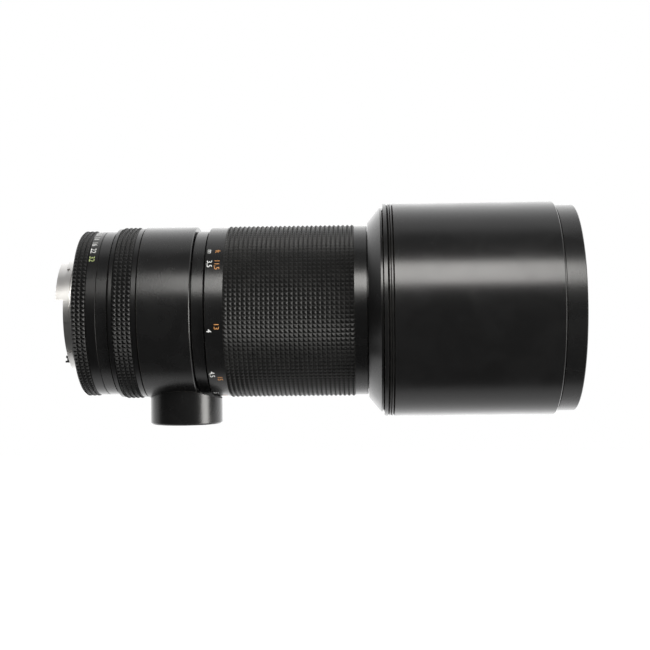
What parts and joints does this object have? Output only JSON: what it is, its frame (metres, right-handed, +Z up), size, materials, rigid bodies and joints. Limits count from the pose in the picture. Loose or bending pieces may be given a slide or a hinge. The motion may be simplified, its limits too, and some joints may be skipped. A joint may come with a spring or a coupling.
{
  "type": "super telephoto lens",
  "caption": "Long black telephoto lens with bayonet mount, aperture ring, rotating tripod collar and foot, knurled focusing grip and a sliding hood over the wide front barrel.",
  "frame": {"origin": "centre of the camera flange plane, on the optical axis", "axes": "+X along the optical axis towards the front glass, +Z up, the tripod foot points to -Z"},
  "size_m": [0.2109, 0.088, 0.0903],
  "materials": {
    "black_anodised": "satin black",
    "chrome": "satin chrome, turned",
    "matt_black": "matt black",
    "steel": "turned",
    "brass": "turned",
    "grip_rubber": "satin",
    "glass": "coated",
    "blade_steel": "blackened",
    "felt": "short pile"
  },
  "bodies": {
    "fixed_barrel": {"bayonet_mount": "chrome", "mount_screws": "steel", "rear_baffle": "matt_black", "main_barrel": "black_anodised", "click_ball": "steel", "click_spring": "brass", "neck_ring": "black_anodised", "neck_screws": "matt_black", "focus_retainer": "matt_black", "focus_stop_pin": "steel"},
    "aperture": {"aperture_ring": "black_anodised", "aperture_fork": "steel"},
    "stop_down": {"stop_down_lever": "matt_black"},
    "lock": {"lock_ring": "black_anodised"},
    "collar": {"tripod_collar": "black_anodised", "tripod_foot": "black_anodised", "tripod_bush": "steel", "foot_screws": "steel"},
    "focus": {"focus_ring": "black_anodised", "focus_grip": "grip_rubber"},
    "front_unit": {"front_barrel": "black_anodised", "helicoid_tube": "black_anodised", "guide_keys": "brass", "inner_tube": "matt_black", "barrel_screws": "steel", "front_cell": "matt_black", "front_element": "glass", "second_element": "glass", "third_element": "glass", "front_spacer": "matt_black", "middle_spacer": "matt_black", "front_retainer": "matt_black", "trim_ring": "matt_black", "filter_ring": "black_anodised", "rear_cell": "matt_black", "fourth_element": "glass", "rear_element": "glass", "rear_spacer": "matt_black", "rear_retainer": "matt_black", "iris_housing": "matt_black", "iris_cover": "matt_black"},
    "iris_drive": {"iris_drive_ring": "brass"},
    "hood": {"hood": "black_anodised", "hood_felt": "felt"},
    "blade_1": {"blade_1": "blade_steel"},
    "blade_2": {"blade_2": "blade_steel"},
    "blade_3": {"blade_3": "blade_steel"},
    "blade_4": {"blade_4": "blade_steel"},
    "blade_5": {"blade_5": "blade_steel"},
    "blade_6": {"blade_6": "blade_steel"},
    "blade_7": {"blade_7": "blade_steel"},
    "blade_8": {"blade_8": "blade_steel"}
  },
  "joints": [
    {"name": "focus_turn", "type": "hinge", "parent": "fixed_barrel", "child": "focus", "pos_m": [0.086, 0, 0], "axis": [1, 0, 0], "range_deg": [0, 302]},
    {"name": "focus_slide", "type": "slide", "parent": "fixed_barrel", "child": "front_unit", "axis": [1, 0, 0], "range_m": [0, 0.0314]},
    {"name": "hood_slide", "type": "slide", "parent": "front_unit", "child": "hood", "axis": [1, 0, 0], "range_m": [0, 0.05]},
    {"name": "aperture_turn", "type": "hinge", "parent": "fixed_barrel", "child": "aperture", "pos_m": [0.006, 0, 0], "axis": [-1, 0, 0], "range_deg": [0, 48]},
    {"name": "iris_turn", "type": "hinge", "parent": "front_unit", "child": "iris_drive", "pos_m": [0.0752, 0, 0], "axis": [-1, 0, 0], "range_deg": [0, 48.1]},
    {"name": "stop_down_turn", "type": "hinge", "parent": "fixed_barrel", "child": "stop_down", "pos_m": [0.0028, 0, 0], "axis": [1, 0, 0], "range_deg": [0, 20], "stiffness_Nm_per_rad": 0.004, "springref_deg": -17.19},
    {"name": "lock_turn", "type": "hinge", "parent": "fixed_barrel", "child": "lock", "pos_m": [0.0214, 0, 0], "axis": [1, 0, 0], "range_deg": [0, 40]},
    {"name": "collar_turn", "type": "hinge", "parent": "fixed_barrel", "child": "collar", "pos_m": [0.0379, 0, 0], "axis": [1, 0, 0], "continuous": true},
    {"name": "blade_1_turn", "type": "hinge", "parent": "front_unit", "child": "blade_1", "pos_m": [0.0713, 0, 0.0228], "axis": [1, 0, 0], "range_deg": [0, 31.65]},
    {"name": "blade_2_turn", "type": "hinge", "parent": "front_unit", "child": "blade_2", "pos_m": [0.0713, -0.01612, 0.01612], "axis": [1, 0, 0], "range_deg": [0, 31.65]},
    {"name": "blade_3_turn", "type": "hinge", "parent": "front_unit", "child": "blade_3", "pos_m": [0.0713, -0.0228, 0], "axis": [1, 0, 0], "range_deg": [0, 31.65]},
    {"name": "blade_4_turn", "type": "hinge", "parent": "front_unit", "child": "blade_4", "pos_m": [0.0713, -0.01612, -0.01612], "axis": [1, 0, 0], "range_deg": [0, 31.65]},
    {"name": "blade_5_turn", "type": "hinge", "parent": "front_unit", "child": "blade_5", "pos_m": [0.0713, 0, -0.0228], "axis": [1, 0, 0], "range_deg": [0, 31.65]},
    {"name": "blade_6_turn", "type": "hinge", "parent": "front_unit", "child": "blade_6", "pos_m": [0.0713, 0.01612, -0.01612], "axis": [1, 0, 0], "range_deg": [0, 31.65]},
    {"name": "blade_7_turn", "type": "hinge", "parent": "front_unit", "child": "blade_7", "pos_m": [0.0713, 0.0228, 0], "axis": [1, 0, 0], "range_deg": [0, 31.65]},
    {"name": "blade_8_turn", "type": "hinge", "parent": "front_unit", "child": "blade_8", "pos_m": [0.0713, 0.01612, 0.01612], "axis": [1, 0, 0], "range_deg": [0, 31.65]}
  ],
  "couplings": [
    {"joint": "focus_slide", "follows": "focus_turn", "m_per_rad": 0.0059572},
    {"joint": "iris_turn", "follows": "aperture_turn", "ratio": 1},
    {"joint": "blade_1_turn", "follows": "aperture_turn", "ratio": 0.65882},
    {"joint": "blade_2_turn", "follows": "aperture_turn", "ratio": 0.65882},
    {"joint": "blade_3_turn", "follows": "aperture_turn", "ratio": 0.65882},
    {"joint": "blade_4_turn", "follows": "aperture_turn", "ratio": 0.65882},
    {"joint": "blade_5_turn", "follows": "aperture_turn", "ratio": 0.65882},
    {"joint": "blade_6_turn", "follows": "aperture_turn", "ratio": 0.65882},
    {"joint": "blade_7_turn", "follows": "aperture_turn", "ratio": 0.65882},
    {"joint": "blade_8_turn", "follows": "aperture_turn", "ratio": 0.65882}
  ]
}
